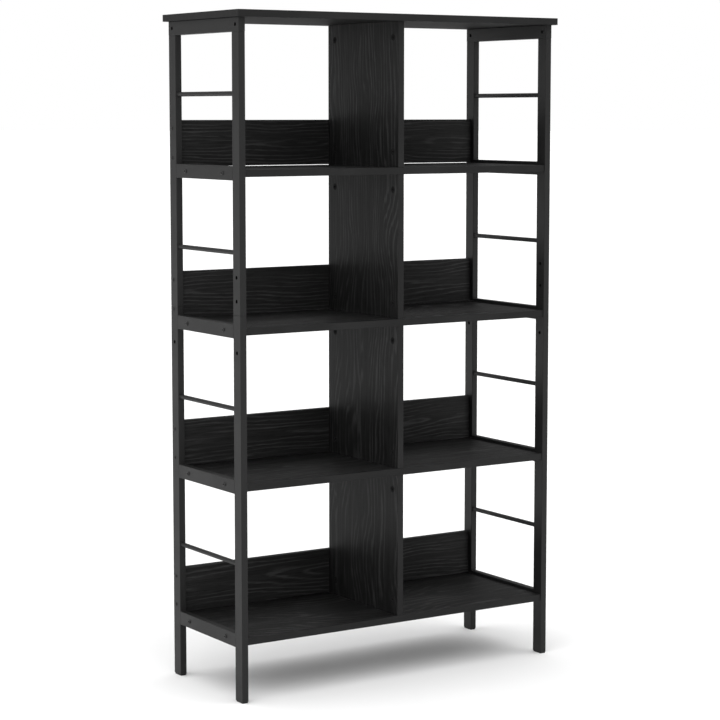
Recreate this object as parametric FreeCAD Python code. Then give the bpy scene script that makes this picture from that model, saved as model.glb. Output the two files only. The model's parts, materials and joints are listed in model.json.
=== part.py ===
"""Open bookcase: two welded steel side frames carry a top board, four shelves, four dividers and four
low back boards.

Millimetres. X runs along the width, Y from the open front (-) to the back (+) and Z up. The origin is on
the floor, under the middle of the bookcase.
"""
import FreeCAD
import Part
import os

Vector = FreeCAD.Vector

# ---- Overall sizes -------------------------------------------------------------------------------------
HEIGHT = 1465.0
TOP_WIDTH = 830.0
TOP_DEPTH = 332.0
FRAME_WIDTH = 814.0           # over the outer faces of the two side frames
FRAME_DEPTH = 307.0

# ---- Steel tube of the side frames ---------------------------------------------------------------------
TUBE_LONG = 30.0              # long side of the section: along Y in a leg, along Z in a rail
TUBE_SHORT = 15.0             # short side of the section: always along X
TUBE_WALL = 1.2
TUBE_CORNER = 1.0
LEG_END_CHAMFER = 0.5         # deburred ends of the leg tubes, seen as a fine groove where two tubes meet
ROD_DIAMETER = 10.0
FOOT_HEIGHT = 2.5             # how far a foot stands out under its leg
SEAM_Z = 830.0                # the upper half of a side frame stands on the lower half here
SLEEVE_LENGTH = 200.0         # inner sleeve that joins the two halves of a leg
PLUG_CLEARANCE = 0.2          # between the inside of a tube and what is pushed into it

# ---- Boards --------------------------------------------------------------------------------------------
BOARD = 15.0
BOARD_EDGE = 0.4              # rounding along every edge of a board
LEVELS = 4
FIRST_LEVEL_Z = 132.5         # middle of the lowest shelf and of the side rails that carry it
LEVEL_PITCH = 331.5
SHELF_SETBACK = 2.5           # shelf edges stand back from the faces of the frame
PARTITION_SETBACK = 3.5
BACK_HEIGHT = 101.2
BACK_GAP = 1.5                # between a back board and the shelf below it

# ---- Fasteners -----------------------------------------------------------------------------------------
SHELF_BOLT_Y = 81.0           # two bolts in each shelf end, this far from the middle
SHELF_BOLT_DIAMETER = 6.0
SHELF_BOLT_REACH = 27.0       # from the outer face of the frame to the tip
BOLT_HEAD_DIAMETER = 9.0
BOLT_HEAD_HEIGHT = 2.6
HEAD_DOME = 0.8               # rounding of a domed head, as a share of its height
HEX_SOCKET = 4.0              # across the flats
INSERT_DIAMETER = 9.0
INSERT_LENGTH = 13.0
BACK_SCREW_PITCH = 64.0
BACK_SCREW_DIAMETER = 4.0
BACK_SCREW_REACH = 42.0
PAN_HEAD_DIAMETER = 8.0
PAN_HEAD_HEIGHT = 2.0
PAN_RECESS = 4.0              # width of the cross recess in a pan head
PAN_RECESS_DEPTH = 1.0
SET_SCREW_DIAMETER = 8.0      # set screws reach out of a sleeve or a pin into the wall of a tube
SET_SCREW_LENGTH = 8.0
SET_SCREW_SINK = 0.4
SET_SCREW_HOLE = 8.4          # drilled right through the tube
SET_SOCKET = 5.0
SET_SOCKET_DEPTH = 5.0
JOINT_SCREWS_FRONT = (79.5, 29.5, -79.5)          # heights from the seam
JOINT_SCREWS_REAR = (-79.5,)
PIN_DIAMETER = 12.0           # pins under the top board drop into the top rails
PIN_LENGTH = 26.0
PIN_THREAD_DIAMETER = 6.0
PIN_THREAD_LENGTH = 10.0
CAM_DIAMETER = 15.0
CAM_DEPTH = 12.5
CAM_RECESS = 7.5              # width of the cross recess in a cam lock
CAM_RECESS_DEPTH = 3.0
CAM_EDGE = 34.0               # from the end of a partition to the middle of its cam locks
CAM_FRONT = 21.0              # from the front edge of a partition to its front cam locks
CAM_REAR = 28.0
CAM_BOLT_DIAMETER = 5.0
CAM_BOLT_HEAD = 7.0
CAM_BOLT_HEAD_LENGTH = 4.0
CAM_BOLT_THREAD = 11.0        # depth in a board that is not bored through
CAM_BORE = 7.4
DOWEL_DIAMETER = 8.0
DOWEL_IN_BOARD = 10.0
DOWEL_IN_PARTITION = 20.0
DOWEL_OFFSET = 40.0           # the dowels above and below a shelf stand either side of its middle
CAP_THICKNESS = 2.0
CAP_PLUG_LENGTH = 6.5         # stops short of the pin
FOOT_PLUG_LENGTH = 14.0
FOOT_INSET = 1.0
CROSS_ARM = 0.25              # width of a recess arm, as a share of the whole cross

# ---- Places worked out from the sizes ------------------------------------------------------------------
TOP_UNDERSIDE = HEIGHT - BOARD
TOP_RAIL_Z = TOP_UNDERSIDE - TUBE_LONG / 2
LEG_TOP = TOP_UNDERSIDE - TUBE_LONG
LEG_Y = (FRAME_DEPTH - TUBE_LONG) / 2
FRAME_X = (FRAME_WIDTH - TUBE_SHORT) / 2
INSIDE_X = FRAME_WIDTH / 2 - TUBE_SHORT
RAIL_END_Y = FRAME_DEPTH / 2 - TUBE_LONG
SHELF_Y = FRAME_DEPTH / 2 - SHELF_SETBACK
BACK_Y = SHELF_Y - BOARD / 2
PARTITION_FRONT = PARTITION_SETBACK - FRAME_DEPTH / 2
PARTITION_REAR = SHELF_Y - BOARD
PARTITION_MIDDLE = (PARTITION_FRONT + PARTITION_REAR) / 2
CAM_Y = (PARTITION_FRONT + CAM_FRONT, PARTITION_REAR - CAM_REAR)

LEVEL_Z = [FIRST_LEVEL_Z + level * LEVEL_PITCH for level in range(LEVELS)]
TIER_FLOOR = [z + BOARD / 2 for z in LEVEL_Z]
TIER_CEILING = [z - BOARD / 2 for z in LEVEL_Z[1:]] + [TOP_UNDERSIDE]
SIDES = {"left": -1, "right": 1}
ENDS = {"front": -1, "rear": 1}

AXES = {"x": Vector(1, 0, 0), "y": Vector(0, 1, 0), "z": Vector(0, 0, 1)}
TOUCHING = 0.01               # faces and edges closer than this are in the same place
HEX_SIDES = 6


# ---- Shapes that repeat --------------------------------------------------------------------------------
def block(low, high):
    """A plain block between two opposite corners"""
    size = Vector(*high) - Vector(*low)
    return Part.makeBox(size.x, size.y, size.z, Vector(*low))


def bar(low, high, axis, radius):
    """A block whose four edges along one axis are rounded"""
    solid = block(low, high)
    along = [edge for edge in solid.Edges
             if edge.tangentAt(edge.FirstParameter).cross(AXES[axis]).Length < TOUCHING]
    return solid.makeFillet(radius, along)


def shrunk(low, high, axis, amount):
    """The corners of a block drawn in by an amount, except along one axis"""
    step = [0 if name == axis else amount for name in "xyz"]
    return [a + s for a, s in zip(low, step)], [b - s for b, s in zip(high, step)]


def tube(low, high, axis):
    """A rectangular tube along an axis, open at both ends"""
    bore = block(*shrunk(low, high, axis, TUBE_WALL))
    return bar(low, high, axis, TUBE_CORNER).cut(bore)


def leg_tube(low, high):
    """A leg tube, with its ends deburred on the outside"""
    solid = bar(low, high, "z", TUBE_CORNER)
    ends = [edge for edge in solid.Edges if edge.BoundBox.ZLength < TOUCHING]
    return solid.makeChamfer(LEG_END_CHAMFER, ends).cut(block(*shrunk(low, high, "z", TUBE_WALL)))


def pushed_in(low, high, axis):
    """The corners of a part that slides into a tube with these corners"""
    return shrunk(low, high, axis, TUBE_WALL + PLUG_CLEARANCE)


def board(low, high):
    """A board with every edge slightly rounded"""
    solid = block(low, high)
    return solid.makeFillet(BOARD_EDGE, solid.Edges)


def rod(start, direction, length, diameter):
    """A round rod, or the drill that bores its hole"""
    return Part.makeCylinder(diameter / 2, length, Vector(*start), Vector(*direction))


def through_side(side, y, z, diameter):
    """A drill right through a side frame along X"""
    return rod((side * FRAME_X - TUBE_SHORT, y, z), (1, 0, 0), 2 * TUBE_SHORT, diameter)


def hexagon(start, direction, depth, across_flats):
    """A hexagonal key socket"""
    corner = Vector(across_flats / 3 ** 0.5, 0, 0)
    turns = [360 * step / HEX_SIDES for step in range(HEX_SIDES)] + [0]
    outline = Part.makePolygon([FreeCAD.Rotation(AXES["z"], turn).multVec(corner) for turn in turns])
    socket = Part.Face(outline).extrude(Vector(0, 0, depth))
    socket.Placement = FreeCAD.Placement(Vector(*start), FreeCAD.Rotation(AXES["z"], Vector(*direction)))
    return socket


def cross(start, direction, depth, width):
    """A cross recess for a screwdriver"""
    arm = width * CROSS_ARM
    slots = [Part.makeBox(width, arm, depth, Vector(-width / 2, -arm / 2, 0)),
             Part.makeBox(arm, width, depth, Vector(-arm / 2, -width / 2, 0))]
    recess = slots[0].fuse(slots[1])
    recess.Placement = FreeCAD.Placement(Vector(*start), FreeCAD.Rotation(AXES["z"], Vector(*direction)))
    return recess


def without(solid, cutters):
    """The solid less every cutter that reaches it"""
    near = [cutter for cutter in cutters if cutter.BoundBox.intersect(solid.BoundBox)]
    return solid.cut(near) if near else solid


def domed_head(x, y, z, side, diameter, height):
    """A low domed screw head on the outer face of a side frame"""
    head = rod((x, y, z), (side, 0, 0), height, diameter)
    outer = x + side * height
    rim = [edge for edge in head.Edges
           if edge.BoundBox.XLength < TOUCHING and abs(edge.BoundBox.Center.x - outer) < TOUCHING]
    return head.makeFillet(height * HEAD_DOME, rim)


# ---- Fasteners -----------------------------------------------------------------------------------------
def shelf_bolt(side, y, z):
    """A button-head bolt through a side rail into a shelf end"""
    face = side * FRAME_WIDTH / 2
    bolt = domed_head(face, y, z, side, BOLT_HEAD_DIAMETER, BOLT_HEAD_HEIGHT).fuse(
        rod((face, y, z), (-side, 0, 0), SHELF_BOLT_REACH, SHELF_BOLT_DIAMETER))
    outer = (face + side * BOLT_HEAD_HEIGHT, y, z)
    return bolt.cut(hexagon(outer, (-side, 0, 0), BOLT_HEAD_HEIGHT, HEX_SOCKET))


def shelf_insert(side, y, z):
    """A threaded insert pressed into a shelf end"""
    start = (side * INSIDE_X, y, z)
    insert = rod(start, (-side, 0, 0), INSERT_LENGTH, INSERT_DIAMETER)
    return insert.cut(rod(start, (-side, 0, 0), INSERT_LENGTH, SHELF_BOLT_DIAMETER))


def back_screw(side, z):
    """A pan-head screw through a rear leg into the end of a back board"""
    face = side * FRAME_WIDTH / 2
    screw = domed_head(face, BACK_Y, z, side, PAN_HEAD_DIAMETER, PAN_HEAD_HEIGHT).fuse(
        rod((face, BACK_Y, z), (-side, 0, 0), BACK_SCREW_REACH, BACK_SCREW_DIAMETER))
    outer = (face + side * PAN_HEAD_HEIGHT, BACK_Y, z)
    return screw.cut(cross(outer, (-side, 0, 0), PAN_RECESS_DEPTH, PAN_RECESS))


def set_screw(side, y, z):
    """A socket set screw in a leg sleeve or a pin, its outer end in the hole of the tube around them"""
    start = (side * (FRAME_WIDTH / 2 - SET_SCREW_SINK), y, z)
    inward = (-side, 0, 0)
    screw = rod(start, inward, SET_SCREW_LENGTH, SET_SCREW_DIAMETER)
    return screw.cut(hexagon(start, inward, SET_SOCKET_DEPTH, SET_SOCKET))


def top_pin(side, end):
    """A pin screwed into the top board that drops into the end of a top rail"""
    x, y = side * FRAME_X, end * LEG_Y
    pin = rod((x, y, TOP_UNDERSIDE), (0, 0, -1), PIN_LENGTH, PIN_DIAMETER).fuse(
        rod((x, y, TOP_UNDERSIDE), (0, 0, 1), PIN_THREAD_LENGTH, PIN_THREAD_DIAMETER))
    return pin.cut(through_side(side, y, TOP_RAIL_Z, SET_SCREW_DIAMETER))


def cam_bore(tier, y, end):
    """The bore in a partition from its lower (-1) or upper (1) end past the middle of the cam"""
    edge = TIER_CEILING[tier] if end > 0 else TIER_FLOOR[tier]
    return rod((0, y, edge), (0, 0, -end), CAM_EDGE + CAM_BORE / 2, CAM_BORE)


def cam_body(tier, y, end):
    """The round space of a cam lock in the left face of a partition"""
    edge = TIER_CEILING[tier] if end > 0 else TIER_FLOOR[tier]
    return rod((-BOARD / 2, y, edge - end * CAM_EDGE), (1, 0, 0), CAM_DEPTH, CAM_DIAMETER)


def cam_lock(tier, y, end):
    """A cam lock: a round body with a cross recess, hollow where it grips the bolt head"""
    edge = TIER_CEILING[tier] if end > 0 else TIER_FLOOR[tier]
    recess = cross((-BOARD / 2, y, edge - end * CAM_EDGE), (1, 0, 0), CAM_RECESS_DEPTH, CAM_RECESS)
    return cam_body(tier, y, end).cut([cam_bore(tier, y, end), recess])


def cam_bolt_end(y, face, end):
    """The part of a cam bolt that stands out of a board face, down (-1) or up (1)"""
    neck = rod((0, y, face), (0, 0, end), CAM_EDGE, CAM_BOLT_DIAMETER)
    head = rod((0, y, face + end * CAM_EDGE), (0, 0, -end), CAM_BOLT_HEAD_LENGTH, CAM_BOLT_HEAD)
    return neck.fuse(head)


def cam_bolt(y, face, end):
    """A cam bolt screwed into the face of the top board or of the lowest shelf"""
    thread = rod((0, y, face), (0, 0, -end), CAM_BOLT_THREAD, CAM_BOLT_HEAD)
    return thread.fuse(cam_bolt_end(y, face, end))


def double_cam_bolt(y, level):
    """A cam bolt through a shelf, with a head in the partition above and in the one below"""
    underside = TIER_FLOOR[level] - BOARD
    thread = rod((0, y, underside), (0, 0, 1), BOARD, CAM_BOLT_HEAD)
    return thread.fuse([cam_bolt_end(y, TIER_FLOOR[level], 1), cam_bolt_end(y, underside, -1)])


def dowel(tier, end):
    """A wooden dowel between a partition and the board above (1) or below (-1) it"""
    edge = TIER_CEILING[tier] if end > 0 else TIER_FLOOR[tier]
    start = (0, PARTITION_MIDDLE - end * DOWEL_OFFSET, edge - end * DOWEL_IN_PARTITION)
    return rod(start, (0, 0, end), DOWEL_IN_PARTITION + DOWEL_IN_BOARD, DOWEL_DIAMETER)


def back_screw_heights(level):
    middle = TIER_FLOOR[level] + BACK_GAP + BACK_HEIGHT / 2
    return [middle - BACK_SCREW_PITCH / 2, middle + BACK_SCREW_PITCH / 2]


def joint_screw_heights(end):
    """At the rear, a screw of the third back board holds the sleeve in the upper half of the leg instead"""
    heights = JOINT_SCREWS_FRONT if end == ENDS["front"] else JOINT_SCREWS_REAR
    return [SEAM_Z + height for height in heights]


def fasteners():
    """Every group of identical fasteners, as a list of separate solids"""
    sides, ends = list(SIDES.values()), list(ENDS.values())
    bolt_places = [(s, e * SHELF_BOLT_Y, z) for s in sides for z in LEVEL_Z for e in ends]
    back_places = [(s, z) for s in sides for level in range(LEVELS) for z in back_screw_heights(level)]
    joint_places = [(s, e * LEG_Y, z) for s in sides for e in ends for z in joint_screw_heights(e)]
    cam_places = [(tier, y, end) for tier in range(LEVELS) for y in CAM_Y for end in (-1, 1)]
    return {
        "shelf_bolts": [shelf_bolt(*place) for place in bolt_places],
        "shelf_inserts": [shelf_insert(*place) for place in bolt_places],
        "back_board_screws": [back_screw(*place) for place in back_places],
        "leg_joint_screws": [set_screw(*place) for place in joint_places],
        "top_board_pins": [top_pin(s, e) for s in sides for e in ends],
        "top_board_lock_screws": [set_screw(s, e * LEG_Y, TOP_RAIL_Z) for s in sides for e in ends],
        "cam_locks": [cam_lock(*place) for place in cam_places],
        "cam_bolts": [cam_bolt(y, face, end) for y in CAM_Y
                      for face, end in ((TOP_UNDERSIDE, -1), (TIER_FLOOR[0], 1))],
        "double_cam_bolts": [double_cam_bolt(y, level) for y in CAM_Y for level in range(1, LEVELS)],
        "partition_dowels": [dowel(tier, end) for tier in range(LEVELS) for end in (-1, 1)],
    }


# ---- Boards --------------------------------------------------------------------------------------------
def top_board(fixings):
    blank = board((-TOP_WIDTH / 2, -TOP_DEPTH / 2, TOP_UNDERSIDE), (TOP_WIDTH / 2, TOP_DEPTH / 2, HEIGHT))
    return without(blank, fixings["top_board_pins"] + fixings["cam_bolts"] + fixings["partition_dowels"])


def shelf(level, fixings):
    z = LEVEL_Z[level]
    blank = board((-INSIDE_X, -SHELF_Y, z - BOARD / 2), (INSIDE_X, SHELF_Y, z + BOARD / 2))
    end_bores = [rod((side * INSIDE_X, end * SHELF_BOLT_Y, z), (-side, 0, 0), INSERT_LENGTH, INSERT_DIAMETER)
                 for side in SIDES.values() for end in ENDS.values()]
    return without(blank, end_bores + fixings["cam_bolts"] + fixings["double_cam_bolts"]
                   + fixings["partition_dowels"])


def back_board(level, fixings):
    low_z = TIER_FLOOR[level] + BACK_GAP
    blank = board((-INSIDE_X, BACK_Y - BOARD / 2, low_z),
                  (INSIDE_X, BACK_Y + BOARD / 2, low_z + BACK_HEIGHT))
    return without(blank, fixings["back_board_screws"])


def partition(tier, fixings):
    blank = board((-BOARD / 2, PARTITION_FRONT, TIER_FLOOR[tier]),
                  (BOARD / 2, PARTITION_REAR, TIER_CEILING[tier]))
    places = [(tier, y, end) for y in CAM_Y for end in (-1, 1)]
    cams = [cut(*place) for place in places for cut in (cam_body, cam_bore)]
    return without(blank, cams + fixings["partition_dowels"])


# ---- Side frames ---------------------------------------------------------------------------------------
def leg_corners(side, end, bottom, top):
    """Opposite corners of a leg between two heights"""
    x, y = side * FRAME_X, end * LEG_Y
    return ((x - TUBE_SHORT / 2, y - TUBE_LONG / 2, bottom), (x + TUBE_SHORT / 2, y + TUBE_LONG / 2, top))


def rail_corners(side, z, half_length):
    """Opposite corners of a rail that runs from front to rear"""
    x = side * FRAME_X
    return ((x - TUBE_SHORT / 2, -half_length, z - TUBE_LONG / 2),
            (x + TUBE_SHORT / 2, half_length, z + TUBE_LONG / 2))


def leg_bores(side, end):
    """The holes through one leg: for the sleeve screws and, at the rear, for the back boards"""
    bores = [through_side(side, end * LEG_Y, z, SET_SCREW_HOLE) for z in joint_screw_heights(end)]
    if end == ENDS["rear"]:
        bores += [through_side(side, BACK_Y, z, BACK_SCREW_DIAMETER)
                  for level in range(LEVELS) for z in back_screw_heights(level)]
    return bores


def leg_sleeve(side, end, fixings):
    """The inner tube that joins the lower and upper half of a leg"""
    low, high = leg_corners(side, end, SEAM_Z - SLEEVE_LENGTH / 2, SEAM_Z + SLEEVE_LENGTH / 2)
    blank = tube(*pushed_in(low, high, "z"), "z")
    holes = [through_side(side, end * LEG_Y, z, SET_SCREW_DIAMETER) for z in joint_screw_heights(end)]
    return without(blank, holes + fixings["back_board_screws"])


def side_rail(side, level):
    bores = [through_side(side, end * SHELF_BOLT_Y, LEVEL_Z[level], SHELF_BOLT_DIAMETER)
             for end in ENDS.values()]
    return without(tube(*rail_corners(side, LEVEL_Z[level], RAIL_END_Y), "y"), bores)


def top_rail(side):
    """The rail over the two legs, bored for the pins of the top board and for the screws that lock them"""
    bores = []
    for end in ENDS.values():
        bores.append(through_side(side, end * LEG_Y, TOP_RAIL_Z, SET_SCREW_HOLE))
        bores.append(rod((side * FRAME_X, end * LEG_Y, TOP_RAIL_Z), (0, 0, 1), TUBE_LONG, PIN_DIAMETER))
    return without(tube(*rail_corners(side, TOP_RAIL_Z, FRAME_DEPTH / 2 - CAP_THICKNESS), "y"), bores)


def side_rod(side, level):
    start = (side * FRAME_X, -RAIL_END_Y, LEVEL_Z[level] + LEVEL_PITCH / 2)
    return rod(start, (0, 1, 0), 2 * RAIL_END_Y, ROD_DIAMETER)


def rail_cap(side, end):
    """A plastic cap over an open end of a top rail"""
    edge = FRAME_DEPTH / 2
    ends = sorted((end * edge, end * (edge - CAP_THICKNESS)))
    low, high = rail_corners(side, TOP_RAIL_Z, edge)
    flange = bar((low[0], ends[0], low[2]), (high[0], ends[1], high[2]), "y", TUBE_CORNER)
    plug_low, plug_high = pushed_in(low, high, "y")
    reach = sorted((end * (edge - CAP_THICKNESS), end * (edge - CAP_THICKNESS - CAP_PLUG_LENGTH)))
    return flange.fuse(block((plug_low[0], reach[0], plug_low[2]), (plug_high[0], reach[1], plug_high[2])))


def foot(side, end):
    """A plastic plug in the open end of a leg, with a low flange on the floor"""
    low, high = shrunk(*leg_corners(side, end, 0, FOOT_HEIGHT), "z", FOOT_INSET)
    flange = bar(low, high, "z", TUBE_CORNER)
    plug = block(*pushed_in(*leg_corners(side, end, FOOT_HEIGHT, FOOT_HEIGHT + FOOT_PLUG_LENGTH), "z"))
    return flange.fuse(plug)


def side_frame(side_name, fixings):
    """Every node of one side frame"""
    side = SIDES[side_name]
    nodes = {f"{side_name}_top_rail": top_rail(side)}
    for level in range(LEVELS):
        nodes[f"{side_name}_side_rail_{level + 1}"] = side_rail(side, level)
        nodes[f"{side_name}_side_rod_{level + 1}"] = side_rod(side, level)
    for end_name, end in ENDS.items():
        leg = f"{side_name}_{end_name}"
        bores = leg_bores(side, end)
        nodes[f"{leg}_lower_leg"] = without(leg_tube(*leg_corners(side, end, FOOT_HEIGHT, SEAM_Z)), bores)
        nodes[f"{leg}_upper_leg"] = without(leg_tube(*leg_corners(side, end, SEAM_Z, LEG_TOP)), bores)
        nodes[f"{leg}_leg_sleeve"] = leg_sleeve(side, end, fixings)
        nodes[f"{leg}_foot"] = foot(side, end)
    return nodes


# ---- The whole bookcase --------------------------------------------------------------------------------
def bookcase():
    """Every node by name"""
    fixings = fasteners()
    nodes = {name: Part.makeCompound(solids) for name, solids in fixings.items()}
    nodes["top_board"] = top_board(fixings)
    for level in range(LEVELS):
        nodes[f"shelf_{level + 1}"] = shelf(level, fixings)
        nodes[f"back_board_{level + 1}"] = back_board(level, fixings)
        nodes[f"partition_{level + 1}"] = partition(level, fixings)
    for side_name in SIDES:
        nodes.update(side_frame(side_name, fixings))
    nodes["rail_end_caps"] = Part.makeCompound(
        [rail_cap(side, end) for side in SIDES.values() for end in ENDS.values()])
    return nodes


os.makedirs("parts", exist_ok=True)
for name, shape in bookcase().items():
    shape.exportStep(f"parts/{name}.step")
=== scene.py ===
"""Looks of the open bookcase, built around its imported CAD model. Metres, Z up, open front towards -Y."""

import json
import math

import bmesh
import bpy
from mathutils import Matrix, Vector


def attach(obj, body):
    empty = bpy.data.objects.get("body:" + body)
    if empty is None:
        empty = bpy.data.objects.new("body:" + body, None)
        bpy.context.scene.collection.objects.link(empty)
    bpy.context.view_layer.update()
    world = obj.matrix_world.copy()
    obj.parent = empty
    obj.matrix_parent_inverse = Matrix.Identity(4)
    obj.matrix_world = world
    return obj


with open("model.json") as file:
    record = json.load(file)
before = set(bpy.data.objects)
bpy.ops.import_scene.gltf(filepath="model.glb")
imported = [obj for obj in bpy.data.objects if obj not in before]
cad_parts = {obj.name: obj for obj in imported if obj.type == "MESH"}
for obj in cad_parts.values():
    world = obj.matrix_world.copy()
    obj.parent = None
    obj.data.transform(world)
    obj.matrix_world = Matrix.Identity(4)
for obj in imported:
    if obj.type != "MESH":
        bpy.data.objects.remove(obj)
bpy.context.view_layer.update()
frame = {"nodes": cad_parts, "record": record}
NODES = frame["nodes"]
RECORD = frame["record"]
SLOT_OF = {part["node"]: part["material_slot"] for part in RECORD["subparts"]}

# ---- Sizes of the bookcase -----------------------------------------------------------------------------
LEVELS = 4
FIRST_LEVEL_Z = 0.1325        # middle of the lowest shelf and of the side rails that carry it
LEVEL_PITCH = 0.3315
TIER_START = 0.124            # just under the lowest shelf, where the lowest tier of boards starts
BACK_MIDDLE = 0.192           # middle of the lowest back board
FRAME_X = 0.3995              # middle of a side frame
LEG_INNER_Y = 0.1235          # the faces of the legs that rods and rails are welded to
ROD_RISE = 0.16575            # from a side rail up to the middle of its rod
ROD_RADIUS = 0.005
HALF_RAIL = 0.015

# ---- Camera --------------------------------------------------------------------------------------------
CAMERA_PLACE = (-2.6473, -4.0759, 1.2524)
CAMERA_YAW = 32.908           # degrees to the right of +Y
CAMERA_PITCH = 6.126          # degrees downward
CAMERA_LENS = 108.37          # millimetres, as is the sensor
CAMERA_SENSOR = 36
CAMERA_SHIFT_Y = -0.02


def add_camera():
    data = bpy.data.cameras.new("camera")
    data.lens = CAMERA_LENS
    data.sensor_width = CAMERA_SENSOR
    data.shift_y = CAMERA_SHIFT_Y
    data.clip_start = 0.1
    data.clip_end = 200
    camera = bpy.data.objects.new("camera", data)
    camera.location = CAMERA_PLACE
    camera.rotation_euler = (math.radians(90 - CAMERA_PITCH), 0, math.radians(-CAMERA_YAW))
    bpy.context.scene.collection.objects.link(camera)
    bpy.context.scene.camera = camera


# ---- Node helpers --------------------------------------------------------------------------------------
class Tree:
    """Short names for building a material's node tree. Inputs are given by name, or as i0, i1 and so on."""

    def __init__(self, name):
        self.material = bpy.data.materials.new(name)
        self.material.use_nodes = True
        self.tree = self.material.node_tree
        self.shader = self.tree.nodes["Principled BSDF"]

    def node(self, kind, settings=None, **inputs):
        made = self.tree.nodes.new(kind)
        for key, value in (settings or {}).items():
            setattr(made, key, value)
        for key, value in inputs.items():
            socket = int(key[1:]) if key[1:].isdigit() else key
            self.set(made.inputs[socket], value)
        return made

    def set(self, socket, value):
        if isinstance(value, bpy.types.NodeSocket):
            self.tree.links.new(value, socket)
        else:
            socket.default_value = value

    def math(self, operation, a, b=0.0, c=0.0):
        return self.node("ShaderNodeMath", {"operation": operation}, i0=a, i1=b, i2=c).outputs[0]

    def scaled(self, vector, factors):
        made = self.node("ShaderNodeVectorMath", {"operation": "MULTIPLY"}, i0=vector)
        made.inputs[1].default_value = factors
        return made.outputs[0]

    def noise(self, vector, scale, detail=2.0, roughness=0.5):
        return self.node("ShaderNodeTexNoise", Vector=vector, Scale=scale, Detail=detail,
                         Roughness=roughness).outputs["Fac"]

    def combine(self, x, y, z):
        return self.node("ShaderNodeCombineXYZ", i0=x, i1=y, i2=z).outputs[0]

    def separate(self, vector):
        return self.node("ShaderNodeSeparateXYZ", i0=vector).outputs

    def ramp(self, value, low, high, to_low=0.0, to_high=1.0):
        return self.node("ShaderNodeMapRange", {"interpolation_type": "SMOOTHSTEP"},
                         i0=value, i1=low, i2=high, i3=to_low, i4=to_high).outputs[0]

    def mix(self, factor, a, b):
        made = self.node("ShaderNodeMix", {"data_type": "RGBA"})
        self.set(made.inputs["Factor"], factor)
        colours = [socket for socket in made.inputs if socket.type == "RGBA"]
        self.set(colours[0], a)
        self.set(colours[1], b)
        return [socket for socket in made.outputs if socket.type == "RGBA"][0]

    def blend(self, factor, a, b):
        """Numbers a to b by a factor"""
        return self.math("MULTIPLY_ADD", factor, self.math("SUBTRACT", b, a), a)

    def bump(self, height, distance, strength=1.0):
        return self.node("ShaderNodeBump", Strength=strength, Distance=distance, Height=height).outputs[0]

    def place(self):
        return self.node("ShaderNodeTexCoord").outputs["Object"]


def grey(value, warmth=0.0):
    return (value * (1 + warmth), value, value * (1 - warmth), 1.0)


# ---- Oak -----------------------------------------------------------------------------------------------
# how fast each part of the pattern changes along and across the grain, per metre, and with the seed
SWAY = (1.9, 2.6, 1.0)
RIPPLE = (3.4, 30.0, 1.0)
FADING = (3.6, 40.0, 1.0)
PORES = (26.0, 900.0, 1.0)
STREAKS = (4.5, 330.0, 1.0)
CLIMB_ACROSS = 0.5
# where each part starts to show and where it shows in full
LINE_EDGE = (0.24, 0.47)
FADING_EDGE = (0.34, 0.58)
PORE_EDGE = (0.54, 0.68)
STREAK_EDGE = (0.42, 0.66)
TIER_SEED, FACE_SEED = 3.71, 1.37                 # steps of the seed from tier to tier and face to face
SHIFT_SCALE = 7.3             # how fast the heart line shifts with the seed
RIPPLE_RINGS = 2.8            # how many rings a ripple reaches over
LINE_SHARE = 0.75             # of the tone; the rest is streaks
LINE_HEIGHT, PORE_HEIGHT = 0.55, 0.45             # shares of the relief
PORE_DARKNESS = 0.7
EDGE_SMOOTHING = 0.8          # share of the relief that an edge band loses
LINE_POLISH, PORE_ROUGHNESS = 400, 600            # change of roughness per metre of relief
PORE_COLOUR = 0.003
EDGE_COLOURS = (0.014, 0.018)
SHEET_COLOURS = (0.013, 0.017)
FACE_ROUGHNESS, EDGE_ROUGHNESS, SHEET_ROUGHNESS = 0.46, 0.5, 0.62
FACE_IOR, SHEET_IOR = 1.18, 1.06


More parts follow.
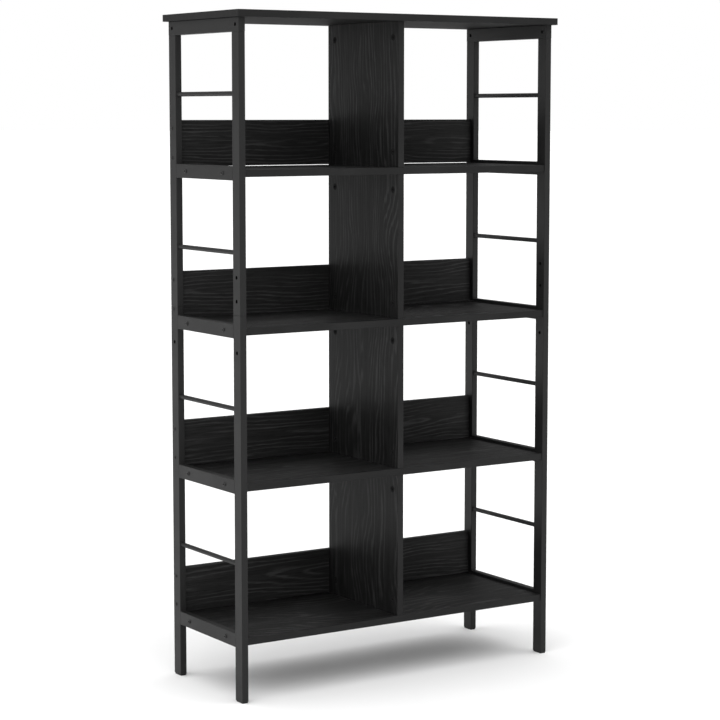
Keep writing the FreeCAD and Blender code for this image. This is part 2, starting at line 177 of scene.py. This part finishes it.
def black_oak(name, grain_axis, across_axis, face_axis, rings, tones, relief, wander, arches):
    """Black oak-look laminate with growth rings and pores along the board, plain edge bands and, under a
    level board, a plain matt balancing sheet. Rings are counted per metre. Relief and wander, which is how
    far the heart line strays from the middle of a board, are in metres. Arches gives how often the cut
    climbs through the rings, per metre of length, and how deep, in metres."""
    t = Tree(name)
    axes = dict(zip("xyz", t.separate(t.place())))
    normal = dict(zip("xyz", t.separate(t.node("ShaderNodeTexCoord").outputs["Normal"])))
    along, across = axes[grain_axis], axes[across_axis]
    # each board and each bay gets its own part of the pattern
    tier = t.math("FLOOR", t.math("DIVIDE", t.math("SUBTRACT", axes["z"], TIER_START), LEVEL_PITCH))
    face_up = t.math("SIGN", normal[face_axis])
    seed = t.math("MULTIPLY_ADD", tier, TIER_SEED, t.math("MULTIPLY", face_up, FACE_SEED))
    if across_axis == "z":
        across = t.math("SUBTRACT", across, t.math("MULTIPLY_ADD", tier, LEVEL_PITCH, BACK_MIDDLE))
    flat = t.combine(along, across, seed)

    # growth rings cut by the plane of the board: arches round a heart line, straight lines beside it
    sway = t.noise(t.scaled(flat, SWAY), 1.0)
    ripple = t.noise(t.scaled(flat, RIPPLE), 1.0, detail=4.0, roughness=0.58)
    shift = t.noise(t.combine(0.0, 0.0, seed), SHIFT_SCALE, detail=0.0)
    heart = t.math("ADD", t.math("MULTIPLY", t.math("SUBTRACT", sway, 0.5), wander),
                   t.math("MULTIPLY", t.math("SUBTRACT", shift, 0.5), wander))
    side = t.math("SUBTRACT", across, heart)
    climb = t.noise(t.scaled(flat, (arches[0], CLIMB_ACROSS, 1.0)), 1.0, detail=1.0)
    depth = t.math("MULTIPLY", t.math("SUBTRACT", climb, 0.5), arches[1])
    radius = t.math("SQRT", t.math("ADD", t.math("MULTIPLY", side, side), t.math("MULTIPLY", depth, depth)))
    phase = t.math("MULTIPLY_ADD", radius, rings, t.math("MULTIPLY", ripple, RIPPLE_RINGS))
    ring = t.math("PINGPONG", phase, 0.5)
    fading = t.ramp(t.noise(t.scaled(flat, FADING), 1.0), *FADING_EDGE)
    line = t.math("MULTIPLY", t.ramp(ring, *LINE_EDGE), fading)

    # short open pores, long along the grain
    pores = t.noise(t.scaled(flat, PORES), 1.0, roughness=0.6)
    pore = t.ramp(pores, *PORE_EDGE)
    streak = t.ramp(t.noise(t.scaled(flat, STREAKS), 1.0, detail=3.0, roughness=0.65), *STREAK_EDGE)

    # edge bands, and the sheet under a level board
    on_edge = t.ramp(t.math("ABSOLUTE", normal[face_axis]), 0.6, 0.4)
    below = t.ramp(normal["z"], -0.5, -0.8)
    tone = t.math("ADD", t.math("MULTIPLY", line, LINE_SHARE), t.math("MULTIPLY", streak, 1 - LINE_SHARE))
    face_colour = t.mix(tone, grey(tones[0]), grey(tones[1]))
    face_colour = t.mix(t.math("MULTIPLY", pore, PORE_DARKNESS), face_colour, grey(PORE_COLOUR))
    band = t.mix(streak, grey(EDGE_COLOURS[0]), grey(EDGE_COLOURS[1]))
    sheet = t.mix(sway, grey(SHEET_COLOURS[0]), grey(SHEET_COLOURS[1]))
    t.set(t.shader.inputs["Base Color"], t.mix(below, t.mix(on_edge, face_colour, band), sheet))
    rough = t.math("ADD", t.math("MULTIPLY_ADD", line, -LINE_POLISH * relief, FACE_ROUGHNESS),
                   t.math("MULTIPLY", pore, PORE_ROUGHNESS * relief))
    rough = t.blend(on_edge, rough, EDGE_ROUGHNESS)
    t.set(t.shader.inputs["Roughness"], t.blend(below, rough, SHEET_ROUGHNESS))
    t.set(t.shader.inputs["IOR"], t.blend(below, FACE_IOR, SHEET_IOR))
    height = t.math("SUBTRACT", t.math("MULTIPLY", line, LINE_HEIGHT), t.math("MULTIPLY", pore, PORE_HEIGHT))
    height = t.math("MULTIPLY", height, t.math("SUBTRACT", 1.0, t.math("MULTIPLY", on_edge, EDGE_SMOOTHING)))
    height = t.math("MULTIPLY", height, t.math("SUBTRACT", 1.0, below))
    t.set(t.shader.inputs["Normal"], t.bump(height, relief))
    return t.material


def powder_coat(name, value, roughness, grain, ior):
    """Black coat with a fine orange-peel texture, whose depth is grain, and slight unevenness"""
    t = Tree(name)
    place = t.place()
    peel = t.noise(place, scale=1100.0, roughness=0.55)
    cloud = t.noise(place, scale=14.0, detail=3.0)
    tone = t.math("ADD", t.math("MULTIPLY", peel, 0.4), t.math("MULTIPLY", cloud, 0.6))
    t.set(t.shader.inputs["Base Color"], t.mix(tone, grey(value * 0.75), grey(value * 1.25)))
    t.set(t.shader.inputs["Roughness"], t.ramp(cloud, 0.3, 0.7, roughness - 0.04, roughness + 0.04))
    t.set(t.shader.inputs["Normal"], t.bump(peel, grain, strength=0.7))
    t.shader.inputs["IOR"].default_value = ior
    return t.material


def plated(name, value, roughness, warmth):
    """Bright plated metal with fine turning marks and faint clouding"""
    t = Tree(name)
    place = t.place()
    marks = t.noise(t.scaled(place, (2600.0, 500.0, 500.0)), 1.0)
    cloud = t.noise(place, scale=240.0)
    t.set(t.shader.inputs["Base Color"], t.mix(cloud, grey(value * 0.8, warmth), grey(value * 1.15, warmth)))
    t.set(t.shader.inputs["Roughness"], t.ramp(marks, 0.3, 0.7, roughness - 0.07, roughness + 0.07))
    t.set(t.shader.inputs["Normal"], t.bump(marks, distance=0.00002, strength=0.5))
    t.shader.inputs["Metallic"].default_value = 1.0
    return t.material


def moulded_plastic(name):
    """Black plastic with a fine spark-eroded texture"""
    t = Tree(name)
    place = t.place()
    spark = t.noise(place, scale=1700.0, detail=3.0, roughness=0.6)
    t.set(t.shader.inputs["Base Color"], t.mix(t.noise(place, scale=60.0), grey(0.010), grey(0.016)))
    t.set(t.shader.inputs["Roughness"], t.ramp(spark, 0.3, 0.7, 0.42, 0.58))
    t.set(t.shader.inputs["Normal"], t.bump(spark, distance=0.00003, strength=0.8))
    t.shader.inputs["IOR"].default_value = 1.25
    return t.material


def beech(name):
    """Plain beech dowel with fine flecks"""
    t = Tree(name)
    fleck = t.noise(t.scaled(t.place(), (900.0, 900.0, 90.0)), 1.0)
    colour = t.mix(t.ramp(fleck, 0.45, 0.65), (0.62, 0.45, 0.29, 1), (0.45, 0.29, 0.16, 1))
    t.set(t.shader.inputs["Base Color"], colour)
    t.shader.inputs["Roughness"].default_value = 0.7
    t.set(t.shader.inputs["Normal"], t.bump(fleck, distance=0.0001, strength=0.5))
    return t.material


def studio_floor(name):
    """Pale matt floor with a faint mottle"""
    t = Tree(name)
    mottle = t.noise(t.place(), scale=3.0, detail=3.0)
    t.set(t.shader.inputs["Base Color"], t.mix(mottle, grey(0.86), grey(0.88)))
    t.shader.inputs["Roughness"].default_value = 0.9
    return t.material


OAK_LENGTHWISE = black_oak("black_oak_lengthwise", grain_axis="x", across_axis="y", face_axis="z",
                           rings=74.0, tones=(0.0065, 0.034), relief=0.0002, wander=0.28,
                           arches=(1.6, 0.26))
OAK_BACK = black_oak("black_oak_back", grain_axis="x", across_axis="z", face_axis="y", rings=115.0,
                     tones=(0.013, 0.041), relief=0.00012, wander=0.08, arches=(1.3, 0.15))
OAK_UPRIGHT = black_oak("black_oak_upright", grain_axis="z", across_axis="y", face_axis="x", rings=74.0,
                        tones=(0.008, 0.034), relief=0.00004, wander=0.28, arches=(1.8, 0.26))
FRAME_COAT = powder_coat("black_frame_coat", value=0.0125, roughness=0.42, grain=0.00004, ior=1.27)
SET_SCREW_STEEL = powder_coat("set_screw_steel", value=0.004, roughness=0.8, grain=0.00001, ior=1.03)
SCREW_STEEL = powder_coat("black_screw_steel", value=0.028, roughness=0.36, grain=0.00001, ior=1.27)
CAM_LOCK_METAL = powder_coat("cam_lock_metal", value=0.016, roughness=0.85, grain=0.00003, ior=1.03)
MATERIALS = {
    "black_frame_steel": FRAME_COAT,
    "black_screw_steel": SCREW_STEEL,
    "zinc_plated_steel": plated("zinc_plated_steel", value=0.55, roughness=0.3, warmth=0.01),
    "cam_lock_metal": CAM_LOCK_METAL,
    "dowel_beech": beech("dowel_beech"),
    "black_plastic": moulded_plastic("black_plastic"),
}


def material_of(node):
    if node in ("leg_joint_screws", "top_board_lock_screws"):
        return SET_SCREW_STEEL
    if node.startswith("back_board_") and node != "back_board_screws":
        return OAK_BACK
    if SLOT_OF[node] == "black_oak_board":
        return OAK_UPRIGHT if node.startswith("partition_") else OAK_LENGTHWISE
    return MATERIALS[SLOT_OF[node]]


for node_name, node_object in NODES.items():
    node_object.data.materials.clear()
    node_object.data.materials.append(material_of(node_name))


# ---- Weld beads ----------------------------------------------------------------------------------------
BEAD = 0.0013                 # how far a bead reaches along both faces
BEAD_WAVE = 0.00018           # how much that varies along it
BEAD_OVERLAP = 0.0001         # how far a bead sinks into the faces it joins
BEAD_HALF_LENGTH = 0.0064     # of a bead at the end of a rail
ROD_BEAD_WAVES = 7
RAIL_BEAD_WAVES = 11
ROD_BEAD_STEPS = 48
RAIL_BEAD_STEPS = 20
ARC_STEPS = 6


def bead_outline(turn):
    """Outline of a bead in the corner between two faces, as distances along the one and the other"""
    size = BEAD + BEAD_WAVE * math.sin(turn)
    quarter = [math.pi / 2 * step / ARC_STEPS for step in range(ARC_STEPS + 1)]
    arc = [(size * math.cos(angle), size * math.sin(angle)) for angle in quarter]
    return [(-BEAD_OVERLAP, -BEAD_OVERLAP), (size, -BEAD_OVERLAP)] + arc + [(-BEAD_OVERLAP, size)]


def add_sweep(made, outlines, closed):
    """Skin a row of outlines, each a list of points"""
    loops = [[made.verts.new(point) for point in outline] for outline in outlines]
    pairs = list(zip(loops, loops[1:])) + ([(loops[-1], loops[0])] if closed else [])
    for first, second in pairs:
        for index in range(len(first)):
            after = (index + 1) % len(first)
            made.faces.new((first[index], first[after], second[after], second[index]))
    if not closed:
        made.faces.new(loops[0])
        made.faces.new(reversed(loops[-1]))


def rod_bead(x, y, z):
    """Outlines of the bead round the end of a rod"""
    inward = -math.copysign(1, y)
    outlines = []
    for step in range(ROD_BEAD_STEPS):
        turn = 2 * math.pi * step / ROD_BEAD_STEPS
        outline = bead_outline(ROD_BEAD_WAVES * turn)
        outlines.append([(x + (ROD_RADIUS + out) * math.cos(turn), y + inward * along,
                          z + (ROD_RADIUS + out) * math.sin(turn)) for out, along in outline])
    return outlines


def rail_bead(x, y, z, up):
    """Outlines of the bead over (1) or under (-1) the end of a side rail"""
    inward = -math.copysign(1, y)
    outlines = []
    for step in range(RAIL_BEAD_STEPS + 1):
        share = 2 * step / RAIL_BEAD_STEPS - 1
        outlines.append([(x + share * BEAD_HALF_LENGTH, y + inward * along, z + up * out)
                         for out, along in bead_outline(RAIL_BEAD_WAVES * share + z)])
    return outlines


def add_welds(name, beads, closed):
    """One piece of many beads, each a row of outlines that may close on itself"""
    made = bmesh.new()
    for outlines in beads:
        add_sweep(made, outlines, closed)
    bmesh.ops.recalc_face_normals(made, faces=made.faces)
    mesh = bpy.data.meshes.new(name)
    made.to_mesh(mesh)
    made.free()
    for face in mesh.polygons:
        face.use_smooth = len(face.vertices) == 4
    mesh.materials.append(FRAME_COAT)
    welds = bpy.data.objects.new(name, mesh)
    bpy.context.scene.collection.objects.link(welds)
    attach(welds, "root")


LEVEL_Z = [FIRST_LEVEL_Z + level * LEVEL_PITCH for level in range(LEVELS)]
WELD_PLACES = [(x, y, z) for x in (-FRAME_X, FRAME_X) for y in (-LEG_INNER_Y, LEG_INNER_Y) for z in LEVEL_Z]
add_welds("rod_welds", [rod_bead(x, y, z + ROD_RISE) for x, y, z in WELD_PLACES], True)
add_welds("rail_welds",
          [rail_bead(x, y, z + up * HALF_RAIL, up) for x, y, z in WELD_PLACES for up in (-1, 1)], False)


# ---- Floor and light -----------------------------------------------------------------------------------
FLOOR_RADIUS = 150.0
FLOOR_CORNERS = 96
KEY_PLACE = (-2.6, -2.2, 1.9)
KEY_AIM = (0, 0, 0.75)
KEY_WIDTH, KEY_HEIGHT = 1.8, 2.4
KEY_WATTS = 8.5
DIM, BRIGHT, ABOVE = 0.08, 0.92, 1.0     # brightness of the surround behind, in front and overhead
RIGHT = 0.5                   # share of it that is left on the right-hand side
BEHIND = (0.6, 0.8)           # the dimmest direction
TURN_DIM = (0.15, 0.75)       # the shares of each direction between which the surround changes
TURN_RIGHT = (0.4, 0.9)
TURN_UP = (0.3, 0.6)


def add_floor():
    mesh = bpy.data.meshes.new("studio_floor")
    made = bmesh.new()
    bmesh.ops.create_circle(made, cap_ends=True, segments=FLOOR_CORNERS, radius=FLOOR_RADIUS)
    made.to_mesh(mesh)
    made.free()
    floor = bpy.data.objects.new("studio_floor", mesh)
    bpy.context.scene.collection.objects.link(floor)
    mesh.materials.append(studio_floor("studio_floor"))


def add_softbox(name, place, aim, width, height, watts):
    data = bpy.data.lights.new(name, "AREA")
    data.shape = "RECTANGLE"
    data.size, data.size_y = width, height
    data.energy = watts
    lamp = bpy.data.objects.new(name, data)
    lamp.location = place
    lamp.rotation_euler = (Vector(aim) - Vector(place)).to_track_quat("-Z", "Y").to_euler()
    bpy.context.scene.collection.objects.link(lamp)


def add_world():
    """A white surround, which lights the object more from the front and from above than from behind"""
    world = bpy.data.worlds.new("studio")
    world.use_nodes = True
    tree = world.node_tree
    tree.nodes["Background"].inputs["Color"].default_value = (1, 1, 1, 1)

    def link(kind, settings=None, *inputs):
        made = tree.nodes.new(kind)
        for key, value in (settings or {}).items():
            setattr(made, key, value)
        for index, value in enumerate(inputs):
            if isinstance(value, bpy.types.NodeSocket):
                tree.links.new(value, made.inputs[index])
            else:
                made.inputs[index].default_value = value
        return made.outputs

    direction = link("ShaderNodeSeparateXYZ", None, link("ShaderNodeTexCoord")["Generated"])
    smooth = {"interpolation_type": "SMOOTHSTEP"}
    behind_right = link("ShaderNodeMath", {"operation": "ADD"},
                        link("ShaderNodeMath", {"operation": "MULTIPLY"}, direction[0], BEHIND[0])[0],
                        link("ShaderNodeMath", {"operation": "MULTIPLY"}, direction[1], BEHIND[1])[0])[0]
    level = link("ShaderNodeMapRange", smooth, behind_right, *TURN_DIM, BRIGHT, DIM)[0]
    to_right = link("ShaderNodeMapRange", smooth, direction[0], *TURN_RIGHT, 1.0, RIGHT)[0]
    level = link("ShaderNodeMath", {"operation": "MULTIPLY"}, level, to_right)[0]
    overhead = link("ShaderNodeMapRange", smooth, direction[2], *TURN_UP, 0.0, ABOVE)[0]
    around = link("ShaderNodeMath", {"operation": "ADD"}, level, overhead)[0]
    # seen directly, the surround is plain white
    seen = link("ShaderNodeLightPath")["Is Camera Ray"]
    strength = link("ShaderNodeMath", {"operation": "MAXIMUM"}, seen, around)[0]
    tree.links.new(strength, tree.nodes["Background"].inputs["Strength"])
    bpy.context.scene.world = world


add_camera()
add_floor()
add_world()
add_softbox("key_light", KEY_PLACE, KEY_AIM, KEY_WIDTH, KEY_HEIGHT, KEY_WATTS)
bpy.context.scene.view_settings.view_transform = "Standard"
